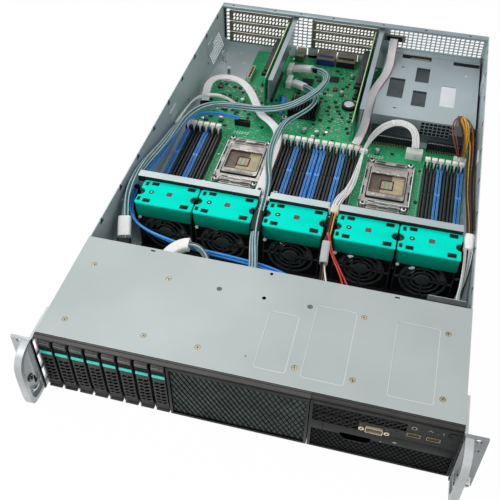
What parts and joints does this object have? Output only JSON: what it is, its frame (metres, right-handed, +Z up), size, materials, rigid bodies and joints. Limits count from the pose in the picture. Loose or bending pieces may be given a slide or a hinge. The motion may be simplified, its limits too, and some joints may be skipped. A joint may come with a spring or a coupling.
{
  "type": "rack server",
  "caption": "Open rack-mount server with hinged-lever drive carriers, lift-out fans, memory and processor sockets, risers and pull-out power supplies.",
  "frame": {"origin": "on the ground under the middle of the whole part, handles included", "axes": "+Z up, the front with drive carriers and handles faces -Y, +X is to the right seen from the front"},
  "size_m": [0.4826, 0.752, 0.0873],
  "materials": {
    "case_steel": "satin zinc-plated sheet",
    "slot_cover_metal": "satin nickel plate",
    "brass_screws": "passivated",
    "circuit_board": "solder mask",
    "front_plastic": "fine texture",
    "ear_aluminium": "satin",
    "screw_chrome": "polished",
    "rail_metal": "satin",
    "connector_plastic": "moulded",
    "latch_plastic": "moulded",
    "socket_steel": "stamped",
    "grip_plastic": "moulded",
    "fan_plastic": "moulded",
    "cable_sleeve": "sleeved",
    "ribbon_plastic": "matte",
    "lead_plastic": "matte"
  },
  "bodies": {
    "chassis": {"chassis_tray": "case_steel", "rear_panel": "case_steel", "slot_covers": "slot_cover_metal", "front_cover": "case_steel", "cover_screws": "brass_screws", "drive_cage": "case_steel", "drive_backplane": "circuit_board", "front_bezel": "front_plastic", "io_panel": "front_plastic", "optical_drive": "case_steel", "ear_left": "ear_aluminium", "ear_right": "ear_aluminium", "fan_rail": "rail_metal", "motherboard": "circuit_board", "board_parts": "connector_plastic", "dimm_sockets": "connector_plastic", "cpu_sockets": "socket_steel", "riser_cards": "circuit_board", "riser_brackets": "case_steel", "psu_cage": "case_steel", "data_cables": "cable_sleeve", "ribbon_cables": "ribbon_plastic", "power_cables": "lead_plastic"},
    "drive_carrier_1": {"drive_carrier_1": "front_plastic"},
    "drive_carrier_2": {"drive_carrier_2": "front_plastic"},
    "drive_carrier_3": {"drive_carrier_3": "front_plastic"},
    "drive_carrier_4": {"drive_carrier_4": "front_plastic"},
    "drive_carrier_5": {"drive_carrier_5": "front_plastic"},
    "drive_carrier_6": {"drive_carrier_6": "front_plastic"},
    "drive_carrier_7": {"drive_carrier_7": "front_plastic"},
    "drive_carrier_8": {"drive_carrier_8": "front_plastic"},
    "carrier_lever_1": {"carrier_lever_1": "front_plastic"},
    "carrier_lever_2": {"carrier_lever_2": "front_plastic"},
    "carrier_lever_3": {"carrier_lever_3": "front_plastic"},
    "carrier_lever_4": {"carrier_lever_4": "front_plastic"},
    "carrier_lever_5": {"carrier_lever_5": "front_plastic"},
    "carrier_lever_6": {"carrier_lever_6": "front_plastic"},
    "carrier_lever_7": {"carrier_lever_7": "front_plastic"},
    "carrier_lever_8": {"carrier_lever_8": "front_plastic"},
    "fan_module_1": {"fan_module_1": "grip_plastic"},
    "fan_module_2": {"fan_module_2": "grip_plastic"},
    "fan_module_3": {"fan_module_3": "grip_plastic"},
    "fan_module_4": {"fan_module_4": "grip_plastic"},
    "fan_module_5": {"fan_module_5": "grip_plastic"},
    "fan_rotor_1": {"fan_rotor_1": "fan_plastic"},
    "fan_rotor_2": {"fan_rotor_2": "fan_plastic"},
    "fan_rotor_3": {"fan_rotor_3": "fan_plastic"},
    "fan_rotor_4": {"fan_rotor_4": "fan_plastic"},
    "fan_rotor_5": {"fan_rotor_5": "fan_plastic"},
    "optical_tray": {"optical_tray": "front_plastic"},
    "power_button": {"power_button": "front_plastic"},
    "thumbscrew_left": {"thumbscrew_left": "screw_chrome"},
    "thumbscrew_right": {"thumbscrew_right": "screw_chrome"},
    "dimm_latches": {"dimm_latches": "latch_plastic"},
    "load_plate_left": {"load_plate_left": "socket_steel"},
    "load_plate_right": {"load_plate_right": "socket_steel"},
    "socket_lever_left": {"socket_lever_left": "socket_steel"},
    "socket_lever_right": {"socket_lever_right": "socket_steel"},
    "power_supply_1": {"power_supply_1": "case_steel"},
    "power_supply_2": {"power_supply_2": "case_steel"}
  },
  "joints": [
    {"name": "carrier_slide_1", "type": "slide", "parent": "chassis", "child": "drive_carrier_1", "axis": [0, -1, 0], "range_m": [0, 0.12]},
    {"name": "lever_hinge_1", "type": "hinge", "parent": "drive_carrier_1", "child": "carrier_lever_1", "pos_m": [-0.20833, -0.3408, 0.0065], "axis": [1, 0, 0], "range_deg": [0, 60]},
    {"name": "carrier_slide_2", "type": "slide", "parent": "chassis", "child": "drive_carrier_2", "axis": [0, -1, 0], "range_m": [0, 0.12]},
    {"name": "lever_hinge_2", "type": "hinge", "parent": "drive_carrier_2", "child": "carrier_lever_2", "pos_m": [-0.19057, -0.3408, 0.0065], "axis": [1, 0, 0], "range_deg": [0, 60]},
    {"name": "carrier_slide_3", "type": "slide", "parent": "chassis", "child": "drive_carrier_3", "axis": [0, -1, 0], "range_m": [0, 0.12]},
    {"name": "lever_hinge_3", "type": "hinge", "parent": "drive_carrier_3", "child": "carrier_lever_3", "pos_m": [-0.17283, -0.3408, 0.0065], "axis": [1, 0, 0], "range_deg": [0, 60]},
    {"name": "carrier_slide_4", "type": "slide", "parent": "chassis", "child": "drive_carrier_4", "axis": [0, -1, 0], "range_m": [0, 0.12]},
    {"name": "lever_hinge_4", "type": "hinge", "parent": "drive_carrier_4", "child": "carrier_lever_4", "pos_m": [-0.15507, -0.3408, 0.0065], "axis": [1, 0, 0], "range_deg": [0, 60]},
    {"name": "carrier_slide_5", "type": "slide", "parent": "chassis", "child": "drive_carrier_5", "axis": [0, -1, 0], "range_m": [0, 0.12]},
    {"name": "lever_hinge_5", "type": "hinge", "parent": "drive_carrier_5", "child": "carrier_lever_5", "pos_m": [-0.13733, -0.3408, 0.0065], "axis": [1, 0, 0], "range_deg": [0, 60]},
    {"name": "carrier_slide_6", "type": "slide", "parent": "chassis", "child": "drive_carrier_6", "axis": [0, -1, 0], "range_m": [0, 0.12]},
    {"name": "lever_hinge_6", "type": "hinge", "parent": "drive_carrier_6", "child": "carrier_lever_6", "pos_m": [-0.11958, -0.3408, 0.0065], "axis": [1, 0, 0], "range_deg": [0, 60]},
    {"name": "carrier_slide_7", "type": "slide", "parent": "chassis", "child": "drive_carrier_7", "axis": [0, -1, 0], "range_m": [0, 0.12]},
    {"name": "lever_hinge_7", "type": "hinge", "parent": "drive_carrier_7", "child": "carrier_lever_7", "pos_m": [-0.10182, -0.3408, 0.0065], "axis": [1, 0, 0], "range_deg": [0, 60]},
    {"name": "carrier_slide_8", "type": "slide", "parent": "chassis", "child": "drive_carrier_8", "axis": [0, -1, 0], "range_m": [0, 0.12]},
    {"name": "lever_hinge_8", "type": "hinge", "parent": "drive_carrier_8", "child": "carrier_lever_8", "pos_m": [-0.08407, -0.3408, 0.0065], "axis": [1, 0, 0], "range_deg": [0, 60]},
    {"name": "fan_lift_1", "type": "slide", "parent": "chassis", "child": "fan_module_1", "axis": [0, 0, 1], "range_m": [0, 0.09]},
    {"name": "rotor_spin_1", "type": "hinge", "parent": "fan_module_1", "child": "fan_rotor_1", "pos_m": [-0.157, -0.097, 0.031], "axis": [0, 1, 0], "continuous": true},
    {"name": "fan_lift_2", "type": "slide", "parent": "chassis", "child": "fan_module_2", "axis": [0, 0, 1], "range_m": [0, 0.09]},
    {"name": "rotor_spin_2", "type": "hinge", "parent": "fan_module_2", "child": "fan_rotor_2", "pos_m": [-0.082, -0.097, 0.031], "axis": [0, 1, 0], "continuous": true},
    {"name": "fan_lift_3", "type": "slide", "parent": "chassis", "child": "fan_module_3", "axis": [0, 0, 1], "range_m": [0, 0.09]},
    {"name": "rotor_spin_3", "type": "hinge", "parent": "fan_module_3", "child": "fan_rotor_3", "pos_m": [0.005, -0.097, 0.031], "axis": [0, 1, 0], "continuous": true},
    {"name": "fan_lift_4", "type": "slide", "parent": "chassis", "child": "fan_module_4", "axis": [0, 0, 1], "range_m": [0, 0.09]},
    {"name": "rotor_spin_4", "type": "hinge", "parent": "fan_module_4", "child": "fan_rotor_4", "pos_m": [0.092, -0.097, 0.031], "axis": [0, 1, 0], "continuous": true},
    {"name": "fan_lift_5", "type": "slide", "parent": "chassis", "child": "fan_module_5", "axis": [0, 0, 1], "range_m": [0, 0.09]},
    {"name": "rotor_spin_5", "type": "hinge", "parent": "fan_module_5", "child": "fan_rotor_5", "pos_m": [0.167, -0.097, 0.031], "axis": [0, 1, 0], "continuous": true},
    {"name": "optical_tray_slide", "type": "slide", "parent": "chassis", "child": "optical_tray", "axis": [0, -1, 0], "range_m": [0, 0.115]},
    {"name": "power_press", "type": "slide", "parent": "chassis", "child": "power_button", "axis": [0, 1, 0], "range_m": [0, 0.0015], "stiffness_N_per_m": 500, "springref_m": -0.0008},
    {"name": "thumbscrew_turn_left", "type": "hinge", "parent": "chassis", "child": "thumbscrew_left", "pos_m": [-0.23255, -0.348, 0.0214], "axis": [0, 1, 0], "continuous": true},
    {"name": "load_plate_hinge_left", "type": "hinge", "parent": "chassis", "child": "load_plate_left", "pos_m": [-0.104, 0.106, 0.01205], "axis": [-1, 0, 0], "range_deg": [0, 115]},
    {"name": "socket_lever_hinge_left", "type": "hinge", "parent": "chassis", "child": "socket_lever_left", "pos_m": [-0.094, 0.03, 0.01205], "axis": [1, 0, 0], "range_deg": [0, 130]},
    {"name": "thumbscrew_turn_right", "type": "hinge", "parent": "chassis", "child": "thumbscrew_right", "pos_m": [0.23255, -0.348, 0.0214], "axis": [0, 1, 0], "continuous": true},
    {"name": "load_plate_hinge_right", "type": "hinge", "parent": "chassis", "child": "load_plate_right", "pos_m": [0.104, 0.106, 0.01205], "axis": [-1, 0, 0], "range_deg": [0, 115]},
    {"name": "socket_lever_hinge_right", "type": "hinge", "parent": "chassis", "child": "socket_lever_right", "pos_m": [0.114, 0.03, 0.01205], "axis": [1, 0, 0], "range_deg": [0, 130]},
    {"name": "dimm_latch_hinge", "type": "hinge", "parent": "chassis", "child": "dimm_latches", "pos_m": [0, 0.115, 0.0125], "axis": [-1, 0, 0], "range_deg": [0, 25]},
    {"name": "supply_slide_1", "type": "slide", "parent": "chassis", "child": "power_supply_1", "axis": [0, 1, 0], "range_m": [0, 0.15]},
    {"name": "supply_slide_2", "type": "slide", "parent": "chassis", "child": "power_supply_2", "axis": [0, 1, 0], "range_m": [0, 0.15]}
  ]
}
